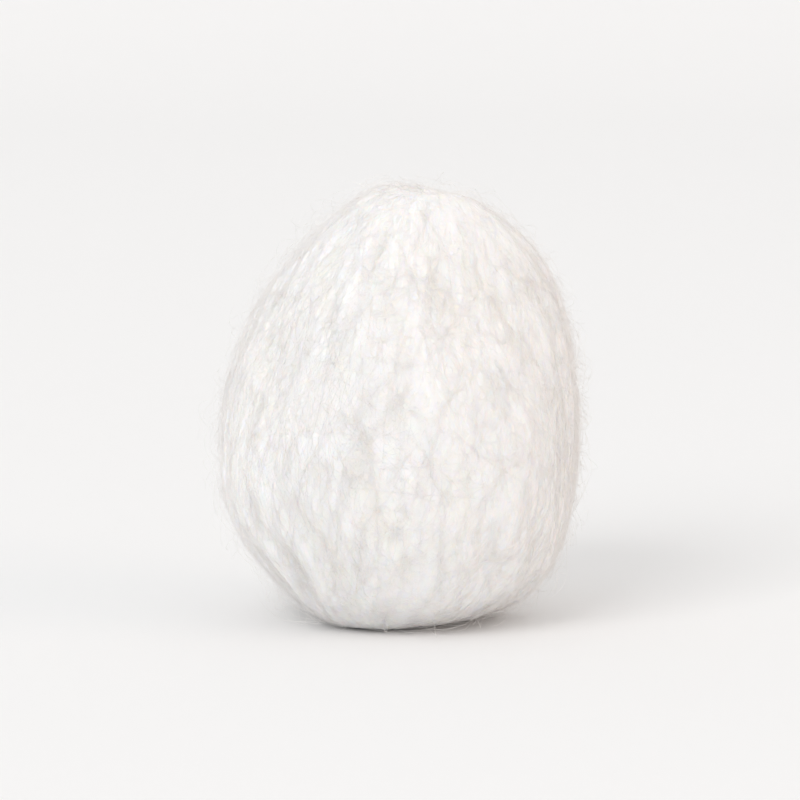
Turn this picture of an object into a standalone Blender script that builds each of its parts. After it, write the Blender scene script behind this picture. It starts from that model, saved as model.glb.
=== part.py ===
# A single absorbent cotton ball, standing on the small flat that its own soft end makes.
#
# The real thing is a short length of carded cotton web, rolled up until it closes into a barrel.
# Its fibres run from end to end, so both ends are gathered into a pucker, the web's last edge
# laps over the barrel as a soft lip, and the sides carry shallow flats from the neighbours that
# it was packed against.
#
# Metres, +Z up. The origin is the middle of the flat that the ball stands on, and -Y is its front.

from math import asin, atan2, cos, exp, hypot, log1p, pi, radians, sin, sqrt, tau

import bmesh
import bpy
from mathutils import Matrix, Vector

# The barrel
BALL_LENGTH = 0.0292       # from end to end along the roll's axis, before the ends are worked
BALL_DIAMETER = 0.0226     # across the middle
BARREL_SQUARENESS = 2.15   # 2 gives an ellipse in profile, more gives blunter ends
UPPER_TAPER = 0.16         # the top is narrower by this share, and the bottom as much wider
LEAN = radians(5.0)        # the axis leans this much to +X

# The web's last edge, lapped over the barrel
LAP_STEP = 0.00095         # how far the lip stands above the layer below
LAP_LIP_WIDTH = 0.0011     # the arc over which the lip rolls down
LAP_PLACE = radians(48.0)  # where the lip crosses the middle, turned from +X towards +Y
LAP_SLANT = radians(24.0)  # how far the lip turns about the axis from the middle to an end
LAP_RUNOUT = radians(150.0)  # the arc over which the raised layer sinks back into the barrel
LAP_LEVEL = 0.0080         # the lip is whole up to this height above and below the middle
LAP_SINKING = 0.0055       # and sinks into the round end over this much more

# The folds gathered into the ends
FOLD_COUNT = 15            # round each end
FOLD_DEPTH = 0.00105       # at the shoulder of an end
FOLD_AT_MIDDLE = 0.00016   # depth of the same fold at the middle
FOLD_START = 0.0020        # height above and below the middle where the folds begin to deepen
FOLD_REACH = 0.0088        # and they are full this much further on
FOLD_RAGGEDNESS = 0.0020   # some folds begin this much sooner, and others as much later
FOLD_WANDER = 1.10         # unevenness of their spacing, in radians of a fold
FOLD_FADING = 0.60         # the faintest fold lacks this share of the full depth
FOLD_SWIRL = radians(18.0)  # how far the folds turn as they run into the pucker
PUCKER_DEPTH = 0.0016      # how far the upper end draws in
PUCKER_RADIUS = 0.0021     # the radius that it draws in over

# The flat at the lower end
FOOT_PRESS = 0.0011        # how deep the surface under the ball presses its lower end
FOOT_ROUNDING = 0.00035    # how softly the pressed flat turns up into the round end
FOOT_CUT = 0.00008         # the flat is levelled this far above the softly pressed surface
FOOT_SMOOTHING = 0.0022    # the folds die out over this much radius, towards the flat

# The shallow flats that neighbours left
NEIGHBOUR_COUNT = 11
NEIGHBOUR_TURN = radians(20.0)  # turns the whole set of flats about the axis
FLAT_DEPTH = 0.00035       # how deep a neighbour presses
FLAT_ROUNDING = 0.0011     # how softly a flat runs into the round of the barrel

# The unevenness of a soft wad
LUMP_COUNT = 6             # waves that cross the ball
LUMP_HEIGHT = 0.00013
LUMP_PITCH = 0.0095        # from one lump to the next

# Mesh density
COLUMNS = 106              # quads round the axis
RINGS = 56                 # quads from pole to pole

# Finish, as linear colour
COTTON_WHITE = (0.880, 0.850, 0.815, 1.0)
COTTON_ROUGHNESS = 1.0

GOLDEN_ANGLE = pi * (3 - sqrt(5))
middle_radius = BALL_DIAMETER / 2
half_length = BALL_LENGTH / 2


def smooth(share):
    """Eases from 0 to 1, and stays at 0 below and 1 above."""
    share = min(max(share, 0.0), 1.0)
    return share * share * (3 - 2 * share)


def soft_floor(value, rounding):
    """The value where it is above 0, and 0 where it is below, with a rounded turn between."""
    return max(value, 0.0) + rounding * log1p(exp(-abs(value) / rounding))


def uneven(angle, phase):
    """A slow wave round the axis, between -1 and 1, that looks irregular."""
    return 0.6 * sin(2 * angle + phase) + 0.4 * sin(3 * angle - 2 * phase)


def spread_directions(count, turned_by):
    """Directions spread evenly over a sphere, along a golden-angle spiral."""
    directions = []
    for index in range(count):
        elevation = asin(1 - (2 * index + 1) / count)
        azimuth = index * GOLDEN_ANGLE + turned_by
        flat = cos(elevation)
        directions.append(Vector((flat * cos(azimuth), flat * sin(azimuth), sin(elevation))))
    return directions


def barrel(polar):
    """(radius, height) of the untapered barrel at polar angle 0 (top) to pi (bottom)."""
    across = abs(sin(polar)) / middle_radius
    endways = abs(cos(polar)) / half_length
    reach = (across**BARREL_SQUARENESS + endways**BARREL_SQUARENESS) ** (-1 / BARREL_SQUARENESS)
    return reach * sin(polar), reach * cos(polar)


def tapered(point):
    """Draws the point nearer to the axis above the middle, and further out below it."""
    share = 1 - UPPER_TAPER * point.z / half_length
    return Vector((point.x * share, point.y * share, point.z))


def barrel_support(outward):
    """How far the untapered barrel reaches along a direction: the distance to its tangent plane."""
    power = BARREL_SQUARENESS / (BARREL_SQUARENESS - 1)
    across = middle_radius * hypot(outward.x, outward.y)
    endways = half_length * abs(outward.z)
    return (across**power + endways**power) ** (1 / power)


def lap(turn, height):
    """Rise of the lapped web: highest at its lip, sinking back over the run-out."""
    past_lip = (turn - LAP_PLACE - LAP_SLANT * height / half_length) % tau
    behind = 1 - smooth(past_lip / LAP_RUNOUT)
    lip = 1 - smooth((tau - past_lip) * middle_radius / LAP_LIP_WIDTH)
    sinking = smooth((abs(height) - LAP_LEVEL) / LAP_SINKING)
    return LAP_STEP * max(behind, lip) * (1 - sinking)


def folds(turn, height, radius):
    """How far the folds cut in: rounded ribs with narrow valleys, running into each end."""
    up = 1 if height >= 0 else -1
    start = FOLD_START + FOLD_RAGGEDNESS * uneven(turn, 2.0 + up)
    near_end = smooth((abs(height) - start) / FOLD_REACH)
    angle = turn + FOLD_SWIRL * near_end**2 * up
    ribs = abs(sin(FOLD_COUNT * angle / 2 + FOLD_WANDER * uneven(angle, 0.8 * up)))
    strength = 1 - FOLD_FADING * (1 + uneven(angle, 4.0 + up)) / 2
    depth = FOLD_AT_MIDDLE + (FOLD_DEPTH - FOLD_AT_MIDDLE) * near_end * strength
    return depth * (1 - ribs) * fold_share(height, radius)


def fold_share(height, radius):
    """1 where the folds are whole, easing to 0 in the upper pucker and towards the lower flat."""
    if height >= 0:
        return smooth(radius / PUCKER_RADIUS)
    return smooth((radius - foot_radius()) / FOOT_SMOOTHING)


def foot_radius():
    """The radius of the untapered barrel at the level where the flat is pressed."""
    level = (half_length - FOOT_PRESS) / half_length
    return middle_radius * (1 - level**BARREL_SQUARENESS) ** (1 / BARREL_SQUARENESS)


def pucker(radius, height):
    """How far the upper end draws in at this radius. The lower end is pressed shut."""
    if height < 0:
        return 0.0
    return PUCKER_DEPTH * exp(-((radius / PUCKER_RADIUS) ** 2))


def lumps(point, waves):
    """Slow unevenness: the sum of sine waves that cross the ball in spread directions."""
    total = sum(
        sin(tau * point.dot(direction) / LUMP_PITCH + index**2)
        for index, direction in enumerate(waves)
    )
    return LUMP_HEIGHT * total / sqrt(len(waves))


def press_flat(point, outward):
    """Pushes the point in where it stands beyond a neighbour's plane."""
    beyond = point.dot(outward) - (barrel_support(outward) - FLAT_DEPTH)
    return point - outward * soft_floor(beyond, FLAT_ROUNDING)


def wad_point(direction, waves, neighbours):
    """Where a point of the unit sphere lies on the cotton, before the ball leans and stands."""
    turn = atan2(direction.y, direction.x)
    polar = atan2(hypot(direction.x, direction.y), direction.z)
    radius, height = barrel(polar)
    worked = radius + (lap(turn, height) - folds(turn, height, radius)) * sin(polar)
    drawn = height - pucker(radius, height)
    point = Vector((worked * cos(turn), worked * sin(turn), drawn))
    point += direction * lumps(point, waves)
    for outward in neighbours:
        point = press_flat(point, outward)
    return tapered(point)


def model_wad():
    """The whole ball as one closed mesh: a sphere moved point by point, leaned and pressed."""
    waves = spread_directions(LUMP_COUNT, 0.0)
    neighbours = spread_directions(NEIGHBOUR_COUNT, NEIGHBOUR_TURN)
    mesh = bmesh.new()
    bmesh.ops.create_uvsphere(mesh, u_segments=COLUMNS, v_segments=RINGS, radius=1.0)
    for vertex in mesh.verts:
        vertex.co = wad_point(vertex.co.normalized(), waves, neighbours)
    bmesh.ops.rotate(mesh, verts=mesh.verts, matrix=Matrix.Rotation(LEAN, 3, "Y"))
    press_foot(mesh)
    level_foot(mesh)
    return mesh


def press_foot(mesh):
    """Presses the lower end against a level surface, which ends up at height 0."""
    floor = min(vertex.co.z for vertex in mesh.verts) + FOOT_PRESS
    for vertex in mesh.verts:
        vertex.co.z = soft_floor(vertex.co.z - floor, FOOT_ROUNDING)


def level_foot(mesh):
    """Makes the pressed end truly flat, and moves the middle of that flat to the origin."""
    everything = mesh.verts[:] + mesh.edges[:] + mesh.faces[:]
    cut = bmesh.ops.bisect_plane(
        mesh,
        geom=everything,
        plane_co=(0, 0, FOOT_CUT),
        plane_no=(0, 0, 1),
        clear_inner=True,
    )
    rim = [item for item in cut["geom_cut"] if isinstance(item, bmesh.types.BMEdge)]
    flat = bmesh.ops.contextual_create(mesh, geom=rim)["faces"][0]
    flat.normal_update()
    if flat.normal.z > 0:
        flat.normal_flip()
    bmesh.ops.translate(mesh, verts=mesh.verts, vec=-flat.calc_center_median_weighted())


def cotton_material():
    """Bleached cotton: near white, with no gloss at all."""
    material = bpy.data.materials.new("bleached_cotton")
    material.use_nodes = True
    shader = material.node_tree.nodes["Principled BSDF"]
    shader.inputs["Base Color"].default_value = COTTON_WHITE
    shader.inputs["Roughness"].default_value = COTTON_ROUGHNESS
    shader.inputs["Metallic"].default_value = 0.0
    return material


def main():
    for old in list(bpy.data.objects):
        bpy.data.objects.remove(old)
    parts = bpy.data.collections.new("cotton_ball_parts")
    bpy.context.scene.collection.children.link(parts)
    wad = model_wad()
    mesh = bpy.data.meshes.new("cotton_ball")
    wad.to_mesh(mesh)
    wad.free()
    mesh.shade_smooth()
    mesh.materials.append(cotton_material())
    parts.objects.link(bpy.data.objects.new("cotton_ball", mesh))


main()
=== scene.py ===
# %% [markdown]
# A cotton ball, dressed round its solid.
#
# The solid is already a closed barrel with its gathers, its lapped edge and its small flat. What
# it lacks is what makes cotton look like cotton: a deep, soft white mass, fine fibres drawn from
# end to end, and a thin halo of loose ones round the outline. This lesson adds them from the
# inside out: a relief on the wad, laid fibres, loose fibres, then the finish, the lamps and the
# camera.

import bpy
import numpy as np
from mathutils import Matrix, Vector


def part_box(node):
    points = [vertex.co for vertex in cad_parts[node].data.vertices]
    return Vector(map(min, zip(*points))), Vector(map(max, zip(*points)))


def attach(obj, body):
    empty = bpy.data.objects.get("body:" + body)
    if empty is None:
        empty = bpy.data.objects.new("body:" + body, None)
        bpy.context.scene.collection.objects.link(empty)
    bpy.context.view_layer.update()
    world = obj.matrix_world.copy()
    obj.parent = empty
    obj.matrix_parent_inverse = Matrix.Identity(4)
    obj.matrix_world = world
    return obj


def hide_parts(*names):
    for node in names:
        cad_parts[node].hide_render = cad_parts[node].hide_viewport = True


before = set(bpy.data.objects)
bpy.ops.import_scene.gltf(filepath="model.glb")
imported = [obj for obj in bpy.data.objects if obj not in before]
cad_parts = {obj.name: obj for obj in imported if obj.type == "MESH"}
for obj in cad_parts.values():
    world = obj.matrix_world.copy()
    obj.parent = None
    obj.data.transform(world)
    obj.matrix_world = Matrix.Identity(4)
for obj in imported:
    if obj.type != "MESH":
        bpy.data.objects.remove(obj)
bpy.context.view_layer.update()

wad_low, wad_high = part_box("cotton_ball")
print("solid, mm:", [round(1000 * side, 1) for side in wad_high - wad_low])

# %% [markdown]
# All lengths are real ones, in metres. The roll's axis leans a little, and the fibres follow that
# axis, up to the point where the gathers meet. So the surface is described by a grid that follows
# it too: rows run from the upper end to the lower one, and columns run round the ball. Each point
# of the grid is a direction from the middle of the axis, which is enough, because a line from
# there meets the surface only once.

# %% A grid of directions about the roll's axis
MM = 0.001
LEAN = np.radians(5.0)
AXIS_PLACE = (0.5 * MM, -0.9 * MM)  # where the roll's axis passes the ball's middle height
CENTRE = np.array((*AXIS_PLACE, (wad_low.z + wad_high.z) / 2))
UP_ROLL = np.array((np.sin(LEAN), 0.0, np.cos(LEAN)))
ACROSS_ROLL = np.array((np.cos(LEAN), 0.0, -np.sin(LEAN)))
INTO_ROLL = np.array((0.0, 1.0, 0.0))
ROWS = 226
COLUMNS = 420
random = np.random.default_rng(seed=11)


def roll_directions():
    """The polar angle of each row, the turn of each column, and their unit directions: up times
    the cosine of the polar angle, plus sideways times its sine. The poles are left out."""
    polar = np.pi * np.arange(1, ROWS + 1)[:, None] / (ROWS + 1)
    turn = 2 * np.pi * np.arange(COLUMNS)[None, :] / COLUMNS
    sideways = np.cos(turn)[..., None] * ACROSS_ROLL + np.sin(turn)[..., None] * INTO_ROLL
    return polar, turn, np.cos(polar)[..., None] * UP_ROLL + np.sin(polar)[..., None] * sideways


polar, turn, directions = roll_directions()
print("grid of rows and columns:", directions.shape[:2])

# %% [markdown]
# Every piece in this lesson is a mesh from whole arrays, so one small function puts points and
# faces into Blender. The wad is a closed net: four-sided faces between the rows, and a fan of
# triangles at each pole.

# %% Arrays into meshes


def add_piece(name, points, corners, sides):
    """An object from points (n, 3), the point numbers of all faces in one row, and the number of
    sides of each face. It sits at the origin, and its place is in its mesh."""
    mesh = bpy.data.meshes.new(name)
    mesh.vertices.add(len(points))
    mesh.vertices.foreach_set("co", points.astype(np.float32).ravel())
    mesh.loops.add(len(corners))
    mesh.loops.foreach_set("vertex_index", corners.astype(np.int32))
    starts = np.concatenate(([0], np.cumsum(sides)[:-1]))
    mesh.polygons.add(len(sides))
    mesh.polygons.foreach_set("loop_start", starts.astype(np.int32))
    mesh.update(calc_edges=True)
    mesh.shade_smooth()
    piece = bpy.data.objects.new(name, mesh)
    bpy.context.scene.collection.objects.link(piece)
    return piece


def closed_net():
    """(corners, sides) of the grid's net, which closes on itself sideways, with one more point
    above its first row and one below its last. Its faces point outwards."""
    first = np.arange(ROWS * COLUMNS).reshape(ROWS, COLUMNS)
    beside = np.roll(first, -1, axis=1)
    quads = np.stack((first[:-1], first[1:], beside[1:], beside[:-1]), axis=-1).reshape(-1, 4)
    pole = np.full(COLUMNS, ROWS * COLUMNS)
    upper = np.stack((pole, first[0], beside[0]), axis=-1)
    lower = np.stack((pole + 1, beside[-1], first[-1]), axis=-1)
    corners = np.concatenate((quads.ravel(), upper.ravel(), lower.ravel()))
    return corners, np.concatenate((np.full(len(quads), 4), np.full(2 * COLUMNS, 3)))


def with_poles(grid):
    """The grid's points in one list, with the mean of its first and of its last row as poles."""
    ends = np.stack((grid[0].mean(axis=0), grid[-1].mean(axis=0)))
    return np.concatenate((grid.reshape(-1, 3), ends))


# %% [markdown]
# The wad has to lie where the solid lies. A tiny ball at the solid's middle is pushed out along
# its normals until it meets the solid, which Blender's Shrinkwrap modifier does in one go, and
# only the distances are kept. A little smoothing takes out the solid's flat facets.

# %% Read the solid's form
SEED_RADIUS = 2.0 * MM
FACET_SMOOTHING = 5


def distances_to_solid():
    """How far the solid reaches from CENTRE along each direction of the grid."""
    seed = add_piece("seed", with_poles(CENTRE + SEED_RADIUS * directions), *closed_net())
    wrap = seed.modifiers.new("wrap", "SHRINKWRAP")
    wrap.wrap_method = "PROJECT"
    wrap.use_positive_direction = True
    wrap.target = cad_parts["cotton_ball"]
    wrapped = seed.evaluated_get(bpy.context.evaluated_depsgraph_get()).to_mesh()
    points = np.empty(3 * len(wrapped.vertices), np.float32)
    wrapped.vertices.foreach_get("co", points)
    bpy.data.objects.remove(seed)
    reached = points.reshape(-1, 3)[: ROWS * COLUMNS].reshape(ROWS, COLUMNS, 3)
    return np.linalg.norm(reached - CENTRE, axis=-1)


def smoothed(values, passes):
    """Each value becomes half itself and a quarter of each neighbour, first round the ball and
    then along it, as many times as passes says."""
    for _ in range(passes):
        values = values / 2 + (np.roll(values, 1, axis=1) + np.roll(values, -1, axis=1)) / 4
        ends = np.concatenate((values[:1], values, values[-1:]))
        values = ends[1:-1] / 2 + (ends[:-2] + ends[2:]) / 4
    return values


reach = smoothed(distances_to_solid(), FACET_SMOOTHING)
form = CENTRE + reach[..., None] * directions
print("reach, mm:", round(reach.min() / MM, 2), "to", round(reach.max() / MM, 2))

# %% [markdown]
# Carded cotton isn't smooth. It is cloudy, with thicker and thinner places a few millimetres
# wide, and its fibres lie in faint wisps, drawn out lengthwise. The clouds are waves that cross
# the ball in all directions. The wisps are waves with whole numbers of crests round the ball, so
# they have no seam, and with few crests along it, so they are drawn out. Near the ends those
# crests crowd together, so they are let down there. Close to the floor all relief fades out, so
# that the flat stays where the solid has it.

# %% Relief of the wad
PITCH_SPREAD = (0.7, 1.5)  # the pitch of each cloud wave is multiplied by a number between these
BROAD_SWAY = 0.16  # radians by which the wisps sway round the ball, in a broad wave
SMALL_SWAY = 0.10  # and in a smaller one
BROAD_CLOUD_HEIGHT = 0.04 * MM
SMALL_CLOUD_HEIGHT = 0.010 * MM
BROAD_WISP_HEIGHT = 0.03 * MM
FINE_WISP_HEIGHT = 0.010 * MM
WISPS_WHOLE = 7.0 * MM  # the wisps have their full height this far from the roll's axis
CLEAR_OF_FLOOR = 1.6 * MM  # relief and fibres have their full height this far above the floor
SINK = 0.12 * MM  # the wad stops this much inside the solid, and the fibres fill the rest


def clouds(count, pitch):
    """A field on the grid with a spread of about 1: the sum of count cosine waves that run in
    random directions through space, with crests about pitch apart."""
    ways = random.normal(size=(count, 3))
    ways /= np.linalg.norm(ways, axis=1, keepdims=True)
    crests = 2 * np.pi / (pitch * random.uniform(*PITCH_SPREAD, count))
    starts = random.uniform(0, 2 * np.pi, count)
    waves = np.cos(form @ (ways * crests[:, None]).T + starts)
    return waves.sum(axis=-1) / np.sqrt(count / 2)


def wisps(count, fewest, most, slope):
    """A field on the grid with a spread of about 1: the sum of count cosine waves, each with
    fewest to most crests round the ball and up to slope crests from end to end."""
    field = np.zeros((ROWS, COLUMNS))
    broad_wave = np.sin(2 * turn + 3.0 * polar + 1.0)
    small_wave = np.sin(3 * turn - 2.0 * polar)
    bend = BROAD_SWAY * broad_wave + SMALL_SWAY * small_wave
    swept = turn + bend * np.sin(polar)
    for crests in random.integers(fewest, most + 1, count):
        lengthwise = random.uniform(-2 * slope, 2 * slope) * polar
        field += np.cos(crests * swept + lengthwise + random.uniform(0, 2 * np.pi))
    return field / np.sqrt(count / 2)


def grid_normals(grid):
    """Outward unit normals: the cross product of the steps down the rows and along the columns."""
    down = np.gradient(grid, axis=0)
    beside = np.roll(grid, -1, axis=1) - np.roll(grid, 1, axis=1)
    normal = np.cross(down, beside)
    return normal / np.linalg.norm(normal, axis=-1, keepdims=True)


def eased(share):
    """0 below 0, 1 above 1, and a smooth turn between: three squares less two cubes."""
    share = np.clip(share, 0, 1)
    return share * share * (3 - 2 * share)


from_centre = form - CENTRE
axis_radius = np.linalg.norm(from_centre - (from_centre @ UP_ROLL)[..., None] * UP_ROLL, axis=-1)
away_from_ends = eased(axis_radius / WISPS_WHOLE)
above_floor = eased(form[..., 2] / CLEAR_OF_FLOOR)

broad_clouds = clouds(count=40, pitch=5.0 * MM)
small_clouds = clouds(count=60, pitch=1.4 * MM)
broad_wisps = wisps(count=60, fewest=10, most=30, slope=2.2)
fine_wisps = wisps(count=140, fewest=40, most=110, slope=2.5)
relief = BROAD_CLOUD_HEIGHT * broad_clouds + SMALL_CLOUD_HEIGHT * small_clouds
relief += BROAD_WISP_HEIGHT * broad_wisps * away_from_ends
relief += FINE_WISP_HEIGHT * fine_wisps * away_from_ends
surface = form + grid_normals(form) * ((relief - SINK) * above_floor)[..., None]
surface[..., 2] = np.maximum(surface[..., 2], 0.0)
outward = grid_normals(surface)
print("relief, mm:", round(relief.min() / MM, 2), "to", round(relief.max() / MM, 2))

# %% [markdown]
# The wad carries two attributes for its finish. One is a place that is drawn out along the
# fibres, so that a noise read at it makes streaks that run from end to end and meet without a
# seam. The other says how deep a point lies in a fold, as the difference between the surface and
# a much smoother one. It sets how much painted shade, a darker and creamier colour, a fold gets.

# %% The wad
FOLD_SMOOTHING = 160
# Painted shade: at this depth a fold gets its full painted shade.
FULL_PAINTED_SHADE = 0.45 * MM  # a point this far below the smoother surface counts as wholly in a fold
STREAK_RING = wad_high.x / MM  # radius of the ring that stands for the turn, in millimetres

wad = add_piece("cotton_wad", with_poles(surface), *closed_net())
drawn_out = np.stack(
    (
        np.broadcast_to(STREAK_RING * np.cos(turn), reach.shape),
        np.broadcast_to(STREAK_RING * np.sin(turn), reach.shape),
        np.broadcast_to(polar, reach.shape),
    ),
    axis=-1,
)
fibre_way = wad.data.attributes.new("fibre_way", "FLOAT_VECTOR", "POINT")
fibre_way.data.foreach_set("vector", with_poles(drawn_out).astype(np.float32).ravel())
# Painted shade: the deeper a point lies in a fold, the more of the folds' darker colour it gets.
painted_shade_share = np.clip((smoothed(reach, FOLD_SMOOTHING) - reach) / FULL_PAINTED_SHADE, 0, 1)
painted_shade_at_poles = (painted_shade_share[0].mean(), painted_shade_share[-1].mean())
painted_shade_weight = wad.data.attributes.new("painted_shade_weight", "FLOAT", "POINT")
painted_shade_weight.data.foreach_set("value", np.append(painted_shade_share.ravel(), painted_shade_at_poles).astype(np.float32))
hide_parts("cotton_ball")
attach(wad, "root")
print("wad triangles:", 2 * ROWS * COLUMNS, "share in folds:", round(painted_shade_share.mean(), 3))

# %% [markdown]
# A fibre is a line on the surface, given by its turn round the ball, its share of the way along
# it and its height over it. Points between the grid's own are blended from the four around them.
# A fibre that runs past an end doesn't cross the pole. It dives into the gathers, as the fibres
# of a real ball do.

# %% Lines on the surface
FIRST_SHARE = 0.012  # nearer to an end than this share of the way, a fibre dives inwards
NARROWEST_RING = 1.5 * MM
MERIDIAN = np.linalg.norm(np.diff(form, axis=0), axis=-1).sum(axis=0).mean()
row_shares = np.linspace(0, 1, ROWS)
row_radii = axis_radius.mean(axis=1)


def blended(grid, row, column):
    """Values of the grid at fractional rows and columns: each is blended from four neighbours."""
    row = np.clip(row, 0, ROWS - 1.001)  # so that there is always a row below
    column = np.mod(column, COLUMNS)
    upper, left = np.floor(row).astype(int), np.floor(column).astype(int) % COLUMNS
    right = (left + 1) % COLUMNS
    down, over = (row - upper)[..., None], (column - np.floor(column))[..., None]
    above = grid[upper, left] * (1 - over) + grid[upper, right] * over
    below = grid[upper + 1, left] * (1 - over) + grid[upper + 1, right] * over
    return above * (1 - down) + below * down


def places(turns, shares, heights):
    """Points at these turns (radians), shares of the way from end to end, and heights. What runs
    past an end goes inwards by as much, and close to the floor nothing stands off."""
    kept = np.clip(shares, FIRST_SHARE, 1 - FIRST_SHARE)
    row, column = kept * (ROWS - 1), turns / (2 * np.pi) * COLUMNS
    below = blended(surface, row, column)
    heights = np.where(heights > 0, heights * eased(below[..., 2] / CLEAR_OF_FLOOR), heights)
    heights = heights - np.abs(shares - kept) * MERIDIAN
    return below + blended(outward, row, column) * heights[..., None]


def spread_starts(count):
    """Turns and shares of count random places, spread evenly over the surface's area."""
    area = np.cumsum(row_radii) / row_radii.sum()
    shares = np.interp(random.uniform(0, 1, count), area, row_shares)
    return random.uniform(0, 2 * np.pi, count)[:, None], shares[:, None]


def turned_by(sideways, shares):
    """The turn that a step sideways makes: the step over the radius of the ring there, which
    counts as no narrower than the narrowest ring."""
    return sideways / np.maximum(np.interp(shares, row_shares, row_radii), NARROWEST_RING)


print("from end to end along the surface, mm:", round(MERIDIAN / MM, 1))

# %% [markdown]
# Each line becomes a thin tube with three sides, closed at both ends, because a fibre is far too
# thin for its roundness to show. It narrows to its tips. All the tubes of a layer are one mesh,
# and each fibre carries a random number, its shade, for the finish. Real cotton fibres are 0.012
# to 0.02 mm thick. These are 0.013 to 0.024 mm in the middle, because finer ones are lost in a
# picture of the whole ball.

# %% Lines into fibres
SIDES = 3
TIP_SHARE = 0.35  # a tip has this share of the thickness in the middle
TINY = 1e-12  # keeps a division by a length safe where that length is 0


def fibres(name, lines, thickness):
    """A piece of closed tubes along lines (fibres, points, 3). Each point of a line carries a ring
    of three corners, square to the line there: radius times cosine aside and sine third."""
    count, points = lines.shape[:2]
    lines[..., 2] = np.maximum(lines[..., 2], thickness[:, None])
    ahead = np.gradient(lines, axis=1)
    ahead /= np.linalg.norm(ahead, axis=-1, keepdims=True) + TINY
    chord = lines[:, -1:] - lines[:, :1]
    aside = np.cross(ahead, np.cross(chord, random.normal(size=(count, 1, 3))))
    aside /= np.linalg.norm(aside, axis=-1, keepdims=True) + TINY
    third = np.cross(ahead, aside)
    swelling = np.sin(np.pi * np.linspace(0, 1, points)) ** 0.5
    narrowing = TIP_SHARE + (1 - TIP_SHARE) * swelling
    radius = (thickness[:, None] / 2 * narrowing)[..., None]
    angles = 2 * np.pi * np.arange(SIDES) / SIDES
    rings = np.stack([radius * (np.cos(a) * aside + np.sin(a) * third) for a in angles], axis=2)
    number = np.arange(count * points * SIDES).reshape(count, points, SIDES)
    turned = np.roll(number, -1, axis=2)
    quads = np.stack((number[:, :-1], turned[:, :-1], turned[:, 1:], number[:, 1:]), axis=-1)
    caps = np.concatenate((number[:, 0, ::-1], number[:, -1]))
    sides = np.concatenate((np.full(quads.size // 4, 4), np.full(len(caps), SIDES)))
    corners = np.concatenate((quads.ravel(), caps.ravel()))
    piece = add_piece(name, (lines[:, :, None] + rings).reshape(-1, 3), corners, sides)
    shade = np.repeat(random.uniform(0, 1, count), points * SIDES).astype(np.float32)
    piece.data.attributes.new("shade", "FLOAT", "POINT").data.foreach_set("value", shade)
    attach(piece, "root")
    print(name, "fibres:", count, "triangles:", quads.size // 2 + len(caps))
    return piece


def most_fibres(triangles, points):
    """How many fibres of this many points fit into this many triangles."""
    return triangles // (2 * SIDES * (points - 1) + 2)


# %% [markdown]
# The laid fibres are the web itself. Most run within some ten degrees of the roll's axis, and a
# second, finer layer crosses them at any slant, as in felt. Each wanders sideways in slow waves
# and a short crimp, and both its tips dip under the surface. There are only enough of them to
# cover about a third of the wad, so that its soft mass still shows between them.

# %% Laid fibres
LAID_POINTS = 17
LAID_LENGTHS = (7, 16)  # mm, the shortest and the longest
CRIMPS = ((1.0, 0.50 * MM), (2.3, 0.22 * MM), (4.6, 0.07 * MM))  # waves in a fibre, and their size
TIP_DEPTH = 0.08 * MM


def laid_lines(count, slant, lift):
    """Lines that lie on the wad. slant is the spread of their directions in radians, and lift the
    greatest height of a fibre's middle. The height falls off with the fourth power to the tips."""
    turns, shares = spread_starts(count)
    length = random.uniform(*LAID_LENGTHS, count)[:, None] * MM
    way = np.linspace(-0.5, 0.5, LAID_POINTS)[None, :]
    tilt = random.normal(0, slant, count)[:, None]
    sideways = way * length * np.sin(tilt)
    for waves, size in CRIMPS:
        start = random.uniform(0, 2 * np.pi, count)[:, None]
        swing = size * random.normal(0, 1, count)[:, None]
        sideways = sideways + swing * np.sin(2 * np.pi * waves * way + start)
    shares = shares + way * length * np.cos(tilt) / MERIDIAN
    towards_tips = (2 * way) ** 4
    height = lift * random.uniform(0, 1, count)[:, None] * (1 - towards_tips)
    height = height - TIP_DEPTH * towards_tips
    return places(turns + turned_by(sideways, shares), shares, height)


def laid_piece(name, triangles, slant, lift, thinnest, thickest):
    """A piece of laid fibres, as many as fit into this many triangles."""
    count = most_fibres(triangles, LAID_POINTS)
    lines = laid_lines(count, slant, lift)
    return fibres(name, lines, random.uniform(thinnest, thickest, count))


fibre_pieces = [
    laid_piece(
        "laid_fibres", triangles=170000, slant=0.20, lift=0.12 * MM,
        thinnest=0.015 * MM, thickest=0.024 * MM,
    ),
    laid_piece(
        "crossing_fibres", triangles=130000, slant=0.95, lift=0.18 * MM,
        thinnest=0.013 * MM, thickest=0.020 * MM,
    ),
]

# %% [markdown]
# The halo is what tells the eye that this is soft. Everywhere a short fuzz stands just off the
# surface, and here and there a longer fibre has worked loose. Some are loops with both tips in
# the wad, and some have one free tip that curls away.

# %% Fuzz and loose fibres
BURIED = 0.06 * MM  # how deep the foot of a standing fibre lies in the wad
LOOP_SHARE = 0.5
HEADING_SPREAD = 0.9  # radians between a fibre's heading at its foot and the roll's axis
CURL_SPREAD = 1.5  # radians that the heading turns by from its foot to its end
FREE_RISE_POWER = 1.3  # above 1, so that a free fibre leaves the wad at a shallow angle
STANDING_THINNEST = 0.014 * MM
STANDING_THICKEST = 0.021 * MM


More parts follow.
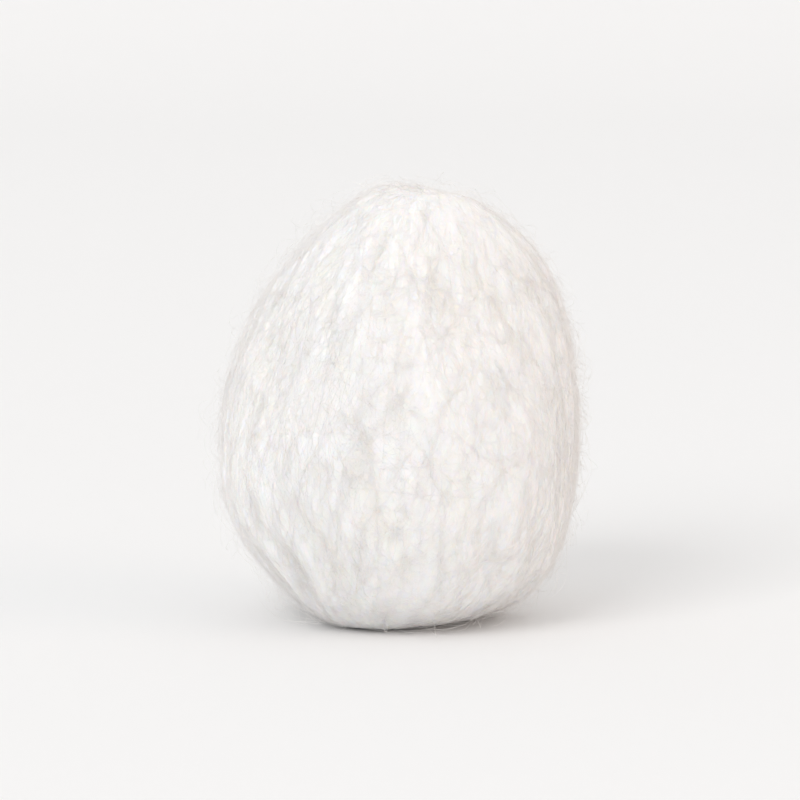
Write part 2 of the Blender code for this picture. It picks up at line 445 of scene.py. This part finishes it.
def standing_lines(count, points, mean_rise, most_rise, shortest, longest):
    """Lines that rise off the wad. A loop rises and comes back as a half wave, and a free fibre
    rises as a quarter wave, to a power. Both drift sideways in a curl along the fibre."""
    turns, shares = spread_starts(count)
    way = np.linspace(0, 1, points)[None, :]
    length = random.uniform(shortest, longest, count)[:, None]
    first_heading = random.normal(0, HEADING_SPREAD, count)[:, None]
    heading = first_heading + random.normal(0, CURL_SPREAD, count)[:, None] * way
    rise = np.minimum(random.exponential(mean_rise, count), most_rise)[:, None]
    is_loop = (random.uniform(0, 1, count) < LOOP_SHARE)[:, None]
    loop_rise = np.sin(np.pi * way)
    free_rise = np.sin(np.pi / 2 * way) ** FREE_RISE_POWER
    height = rise * np.where(is_loop, loop_rise, free_rise)
    height = height - BURIED * np.where(is_loop, 1.0, 1 - way)
    sideways = way * length * np.sin(heading)
    shares = shares + way * length * np.cos(heading) / MERIDIAN
    return places(turns + turned_by(sideways, shares), shares, height)


def standing_piece(name, triangles, points, **shape):
    """A piece of standing fibres, as many as fit into this many triangles. The shape is the rise
    and the length that standing_lines asks for."""
    count = most_fibres(triangles, points)
    lines = standing_lines(count, points, **shape)
    return fibres(name, lines, random.uniform(STANDING_THINNEST, STANDING_THICKEST, count))


fibre_pieces += [
    standing_piece(
        "inner_fuzz", triangles=190000, points=6,
        mean_rise=0.20 * MM, most_rise=0.8 * MM, shortest=0.8 * MM, longest=2.0 * MM,
    ),
    standing_piece(
        "outer_fuzz", triangles=190000, points=7,
        mean_rise=0.42 * MM, most_rise=1.3 * MM, shortest=1.2 * MM, longest=2.8 * MM,
    ),
    standing_piece(
        "loose_fibres", triangles=95000, points=13,
        mean_rise=0.45 * MM, most_rise=1.8 * MM, shortest=2.5 * MM, longest=5.0 * MM,
    ),
]

# %% [markdown]
# Bleached cotton is cellulose with its wax washed out. It has almost no colour of its own. It
# looks white because light wanders through many fibres before it comes out again, and it comes
# out slightly warmer than it went in. So the wad scatters light under its surface, furthest in
# red, and it has next to no gloss. Its folds are painted a little darker and creamier than its
# crests, as painted shade for the warm shade that gathers in them. A small function turns the
# usual hex colours into the linear ones that Blender reckons with, and another adds a node with
# its settings and links.

# %% Helpers for the finish


def linear(hex_colour):
    """sRGB hex to linear red, green, blue and alpha."""
    shares = np.array([int(hex_colour[i:i + 2], 16) / 255 for i in (1, 3, 5)])
    curved = np.where(shares <= 0.04045, shares / 12.92, ((shares + 0.055) / 1.055) ** 2.4)
    return (*curved, 1.0)


def add_node(tree, kind, settings, inputs):
    """A node of this kind, with its settings made and its inputs filled, or linked where the
    value is another node's output."""
    node = tree.nodes.new(kind)
    for name, value in settings.items():
        setattr(node, name, value)
    for name, value in inputs.items():
        if isinstance(value, bpy.types.NodeSocket):
            tree.links.new(value, node.inputs[name])
        else:
            node.inputs[name].default_value = value
    return node


def new_material(name, sockets):
    """(material, its tree, its shader), with these constants on the shader's own sockets."""
    material = bpy.data.materials.new(name)
    material.use_nodes = True
    shader = material.node_tree.nodes["Principled BSDF"]
    for socket, value in sockets.items():
        shader.inputs[socket].default_value = value
    return material, material.node_tree, shader


# %% [markdown]
# The wad's own streaks are about 0.25 mm wide and 3 mm long. The fine felt between them is drawn
# at 0.1 mm, about five times as coarse as the fibres, because it has to show as a soft grain.

# %% Finish of the wad
STREAK_PITCH = 0.25 * MM
FELT_PITCH = 0.10 * MM
FELT_SHARE = 0.35  # of the grain, and the streaks are the rest
GRAIN_DEPTH = 0.04 * MM
GRAIN_STRENGTH = 0.7
SCATTER_REACH = 0.45 * MM  # how far red light wanders under the surface
COTTON_CREST = linear("#FDFBFA")
COTTON_THIN = linear("#FAF7F5")
# Painted shade: the darker, creamier colour that is painted into the folds.
PAINTED_SHADE_COLOUR = linear("#F6EEE7")
FIBRE_PALE = linear("#FEFDFC")


def wad_finish():
    """Loose bleached cotton in the mass: pale streaks, a felt grain and painted fold shade."""
    material, tree, shader = new_material(
        "bleached_cotton_wad",
        {
            "Roughness": 1.0,
            "Specular IOR Level": 0.12,
            "Subsurface Weight": 1.0,
            "Subsurface Radius": (1.0, 0.84, 0.68),
            "Subsurface Scale": SCATTER_REACH,
        },
    )
    way = add_node(tree, "ShaderNodeAttribute", {"attribute_name": "fibre_way"}, {})
    place = add_node(tree, "ShaderNodeTexCoord", {}, {})
    painted_shade_node = add_node(tree, "ShaderNodeAttribute", {"attribute_name": "painted_shade_weight"}, {})
    streaks = add_node(
        tree, "ShaderNodeTexNoise", {},
        {
            "Vector": way.outputs["Vector"],
            "Scale": MM / STREAK_PITCH,
            "Detail": 5.0,
            "Roughness": 0.6,
        },
    )
    felt = add_node(
        tree, "ShaderNodeTexNoise", {},
        {
            "Vector": place.outputs["Object"],
            "Scale": 1 / FELT_PITCH,
            "Detail": 3.0,
            "Roughness": 0.6,
        },
    )
    grain = add_node(
        tree, "ShaderNodeMix", {},
        {"Factor": FELT_SHARE, "A": streaks.outputs["Fac"], "B": felt.outputs["Fac"]},
    )
    body = add_node(
        tree, "ShaderNodeMix", {"data_type": "RGBA"},
        {"Factor": grain.outputs["Result"], "A": COTTON_THIN, "B": COTTON_CREST},
    )
    # Painted shade: the folds are mixed towards a darker, creamier colour.
    body_with_painted_shade = add_node(
        tree, "ShaderNodeMix", {"data_type": "RGBA"},
        {"Factor": painted_shade_node.outputs["Fac"], "A": body.outputs["Result"], "B": PAINTED_SHADE_COLOUR},
    )
    bump = add_node(
        tree, "ShaderNodeBump", {},
        {"Height": grain.outputs["Result"], "Strength": GRAIN_STRENGTH, "Distance": GRAIN_DEPTH},
    )
    tree.links.new(body_with_painted_shade.outputs["Result"], shader.inputs["Base Color"])
    tree.links.new(bump.outputs["Normal"], shader.inputs["Normal"])
    return material


wad.data.materials.append(wad_finish())
print("wad finish nodes:", len(wad.data.materials[0].node_tree.nodes))

# %% [markdown]
# A single fibre is a thin, twisted, clear ribbon. It is a little lighter or darker than the next
# one, and it has a faint silky gloss that the mass hasn't.

# %% Finish of the fibres


def fibre_finish():
    """Single cotton fibres, off-white to white from one to the next."""
    material, tree, shader = new_material(
        "bleached_cotton_fibre",
        {"Roughness": 0.7, "Specular IOR Level": 0.2},
    )
    shade = add_node(tree, "ShaderNodeAttribute", {"attribute_name": "shade"}, {})
    tint = add_node(
        tree, "ShaderNodeMix", {"data_type": "RGBA"},
        {"Factor": shade.outputs["Fac"], "A": COTTON_THIN, "B": FIBRE_PALE},
    )
    tree.links.new(tint.outputs["Result"], shader.inputs["Base Color"])
    return material


cotton_fibre = fibre_finish()
for piece in fibre_pieces:
    piece.data.materials.append(cotton_fibre)
print("pieces with the fibre finish:", len(fibre_pieces))

# %% [markdown]
# The ball stands on a pale sweep: a floor that curves up behind it, so that no edge shows. It has
# a trace of light of its own that only the camera sees, which makes it a touch paler without
# adding light to the cotton.

# %% Floor and backdrop
SWEEP_HALF_WIDTH = 0.9
SWEEP_FRONT = -1.2
SWEEP_START = 0.35
SWEEP_RADIUS = 0.35
SWEEP_HEIGHT = 0.9
CURVE_POINTS = 25
SWEEP_GLOW = 0.01
PAPER_PALE = linear("#F1F1F1")


def add_sweep():
    """A profile carried sideways: a flat floor, a quarter circle and a wall."""
    quarter = np.linspace(0, np.pi / 2, CURVE_POINTS)
    wall = SWEEP_START + SWEEP_RADIUS
    depth = np.concatenate(([SWEEP_FRONT], SWEEP_START + SWEEP_RADIUS * np.sin(quarter), [wall]))
    height = np.concatenate(([0.0], SWEEP_RADIUS * (1 - np.cos(quarter)), [SWEEP_HEIGHT]))
    left = np.stack((np.full(len(depth), -SWEEP_HALF_WIDTH), depth, height), axis=-1)
    points = np.concatenate((left, left * (-1, 1, 1)))
    step = np.arange(len(depth) - 1)
    across = len(depth)
    quads = np.stack((step, step + across, step + across + 1, step + 1), axis=-1)
    return add_piece("sweep", points, quads.ravel(), np.full(len(quads), 4))


def paper_finish():
    """Pale matt paper."""
    material, tree, shader = new_material(
        "pale_paper",
        {
            "Base Color": PAPER_PALE,
            "Roughness": 1.0,
            "Specular IOR Level": 0.0,
            "Emission Color": (1, 1, 1, 1),
        },
    )
    path = add_node(tree, "ShaderNodeLightPath", {}, {})
    glow = add_node(
        tree, "ShaderNodeMath", {"operation": "MULTIPLY"},
        {0: path.outputs["Is Camera Ray"], 1: SWEEP_GLOW},
    )
    tree.links.new(glow.outputs["Value"], shader.inputs["Emission Strength"])
    return material


sweep = add_sweep()
sweep.data.materials.append(paper_finish())
print("sweep faces:", len(sweep.data.polygons))

# %% [markdown]
# The light is one very large, soft lamp in front, above and a little to the left, with an even
# pale surround that fills the shade. A weak, warm lamp, low on the right, does what a card beside
# the ball would do: cotton is so white that its shade takes on the warmth of whatever is near it.
# Together they light a surface that faces the first lamp at about the level where its colour
# renders as it is written, and stay just under it, so that the white doesn't clip.

# %% Lamps
SURROUND_STRENGTH = 0.78
aim = (wad_low + wad_high) / 2


def add_lamp(name, place, size, watts, colour):
    """A square, soft lamp of this size at this place, turned to the ball."""
    light = bpy.data.lights.new(name, "AREA")
    light.size = size
    light.energy = watts
    light.color = linear(colour)[:3]
    lamp = bpy.data.objects.new(name, light)
    lamp.location = place
    lamp.rotation_euler = (aim - Vector(place)).to_track_quat("-Z", "Y").to_euler()
    bpy.context.scene.collection.objects.link(lamp)


add_lamp("key", (-0.90, -1.50, 1.15), size=1.1, watts=16.0, colour="#FFFFFF")
add_lamp("warm_fill", (1.30, -0.55, 0.30), size=0.8, watts=4.0, colour="#FFE2CB")

surround = bpy.data.worlds.new("surround")
surround.use_nodes = True
surround.node_tree.nodes["Background"].inputs["Color"].default_value = linear("#FFFFFF")
surround.node_tree.nodes["Background"].inputs["Strength"].default_value = SURROUND_STRENGTH
bpy.context.scene.world = surround
print("lamps:", len(bpy.data.lights), "and a surround of strength", SURROUND_STRENGTH)

# %% [markdown]
# The camera looks at the ball from in front and a little above, as the photo does, through a long
# lens, so that the barrel isn't swelled.

# %% Camera
CAMERA_DISTANCE = 0.32
CAMERA_ELEVATION = np.radians(8.0)
LENS = 118.0
SENSOR = 18.0

camera_data = bpy.data.cameras.new("camera")
camera_data.lens = LENS
camera_data.sensor_width = SENSOR
camera_data.clip_start = 0.01
camera = bpy.data.objects.new("camera", camera_data)
back = Vector((0, -np.cos(CAMERA_ELEVATION), np.sin(CAMERA_ELEVATION)))
camera.location = aim + CAMERA_DISTANCE * back
camera.rotation_euler = (-back).to_track_quat("-Z", "Y").to_euler()
bpy.context.scene.collection.objects.link(camera)
bpy.context.scene.camera = camera
bpy.context.scene.view_settings.view_transform = "Standard"
print("camera, m:", [round(side, 3) for side in camera.location])
